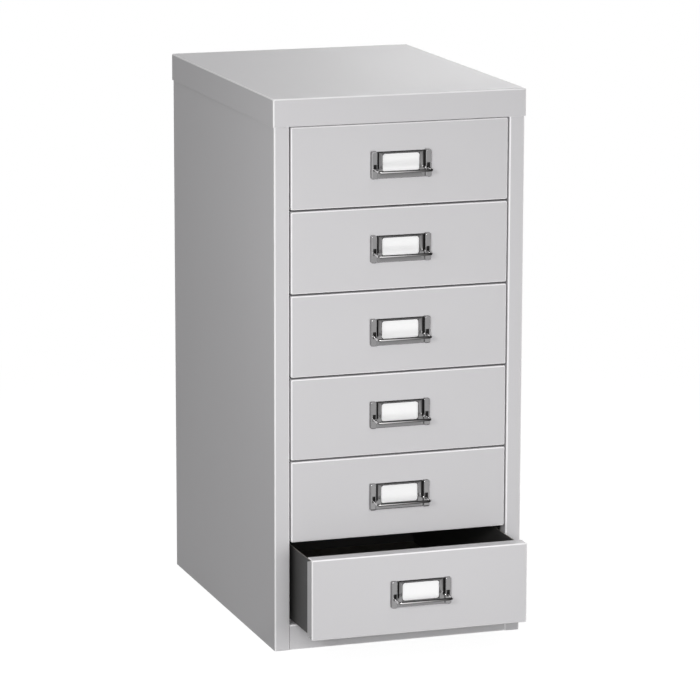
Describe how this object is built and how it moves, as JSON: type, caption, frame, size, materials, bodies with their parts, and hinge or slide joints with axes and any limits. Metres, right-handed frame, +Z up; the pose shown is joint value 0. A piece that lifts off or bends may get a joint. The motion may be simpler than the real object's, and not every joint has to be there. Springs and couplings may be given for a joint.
{
  "type": "drawer cabinet",
  "caption": "Tall narrow sheet-steel drawer cabinet for a desk, with equal drawers on plain runners, a lid-like top cap and card-holder pulls with swinging wire bails.",
  "frame": {"origin": "middle of the carcase's footprint, on the surface that the cabinet stands on", "axes": "+Z up, +Y from the drawer fronts to the back, +X to the right as seen from the front"},
  "size_m": [0.279, 0.4678, 0.59],
  "materials": {
    "carcase_paint": "smooth satin silver-grey paint",
    "front_paint": "smooth satin silver-grey paint",
    "tray_paint": "matt black paint",
    "runner_zinc": "bright zinc plate",
    "holder_plate": "satin nickel plate",
    "bail_wire": "bright nickel plate",
    "card_paper": "plain white card"
  },
  "bodies": {
    "carcase": {"side_panel_left": "carcase_paint", "side_panel_right": "carcase_paint", "bottom_panel": "carcase_paint", "back_panel": "carcase_paint", "top_cap": "carcase_paint", "front_plinth": "carcase_paint", "header_rail": "carcase_paint", "runner_left_1": "runner_zinc", "runner_left_2": "runner_zinc", "runner_left_3": "runner_zinc", "runner_left_4": "runner_zinc", "runner_left_5": "runner_zinc", "runner_left_6": "runner_zinc", "runner_right_1": "runner_zinc", "runner_right_2": "runner_zinc", "runner_right_3": "runner_zinc", "runner_right_4": "runner_zinc", "runner_right_5": "runner_zinc", "runner_right_6": "runner_zinc"},
    "drawer_1": {"drawer_front_1": "front_paint", "drawer_tray_1": "tray_paint", "card_holder_1": "holder_plate", "label_card_1": "card_paper"},
    "drawer_2": {"drawer_front_2": "front_paint", "drawer_tray_2": "tray_paint", "card_holder_2": "holder_plate", "label_card_2": "card_paper"},
    "drawer_3": {"drawer_front_3": "front_paint", "drawer_tray_3": "tray_paint", "card_holder_3": "holder_plate", "label_card_3": "card_paper"},
    "drawer_4": {"drawer_front_4": "front_paint", "drawer_tray_4": "tray_paint", "card_holder_4": "holder_plate", "label_card_4": "card_paper"},
    "drawer_5": {"drawer_front_5": "front_paint", "drawer_tray_5": "tray_paint", "card_holder_5": "holder_plate", "label_card_5": "card_paper"},
    "drawer_6": {"drawer_front_6": "front_paint", "drawer_tray_6": "tray_paint", "card_holder_6": "holder_plate", "label_card_6": "card_paper"},
    "bail_1": {"pull_1": "bail_wire"},
    "bail_2": {"pull_2": "bail_wire"},
    "bail_3": {"pull_3": "bail_wire"},
    "bail_4": {"pull_4": "bail_wire"},
    "bail_5": {"pull_5": "bail_wire"},
    "bail_6": {"pull_6": "bail_wire"}
  },
  "joints": [
    {"name": "drawer_1_slide", "type": "slide", "parent": "carcase", "child": "drawer_1", "axis": [0, -1, 0], "range_m": [0, 0.28]},
    {"name": "drawer_2_slide", "type": "slide", "parent": "carcase", "child": "drawer_2", "axis": [0, -1, 0], "range_m": [0, 0.28]},
    {"name": "drawer_3_slide", "type": "slide", "parent": "carcase", "child": "drawer_3", "axis": [0, -1, 0], "range_m": [0, 0.28]},
    {"name": "drawer_4_slide", "type": "slide", "parent": "carcase", "child": "drawer_4", "axis": [0, -1, 0], "range_m": [0, 0.28]},
    {"name": "drawer_5_slide", "type": "slide", "parent": "carcase", "child": "drawer_5", "axis": [0, -1, 0], "range_m": [0, 0.28]},
    {"name": "drawer_6_slide", "type": "slide", "parent": "carcase", "child": "drawer_6", "axis": [0, -1, 0], "range_m": [-0.07, 0.21]},
    {"name": "bail_1_pivot", "type": "hinge", "parent": "drawer_1", "child": "bail_1", "pos_m": [0, -0.1909, 0.51169], "axis": [-1, 0, 0], "range_deg": [0, 54]},
    {"name": "bail_2_pivot", "type": "hinge", "parent": "drawer_2", "child": "bail_2", "pos_m": [0, -0.1909, 0.42288], "axis": [-1, 0, 0], "range_deg": [0, 54]},
    {"name": "bail_3_pivot", "type": "hinge", "parent": "drawer_3", "child": "bail_3", "pos_m": [0, -0.1909, 0.33406], "axis": [-1, 0, 0], "range_deg": [0, 54]},
    {"name": "bail_4_pivot", "type": "hinge", "parent": "drawer_4", "child": "bail_4", "pos_m": [0, -0.1909, 0.24524], "axis": [-1, 0, 0], "range_deg": [0, 54]},
    {"name": "bail_5_pivot", "type": "hinge", "parent": "drawer_5", "child": "bail_5", "pos_m": [0, -0.1909, 0.15643], "axis": [-1, 0, 0], "range_deg": [0, 54]},
    {"name": "bail_6_pivot", "type": "hinge", "parent": "drawer_6", "child": "bail_6", "pos_m": [0, -0.2609, 0.06761], "axis": [-1, 0, 0], "range_deg": [0, 54]}
  ]
}
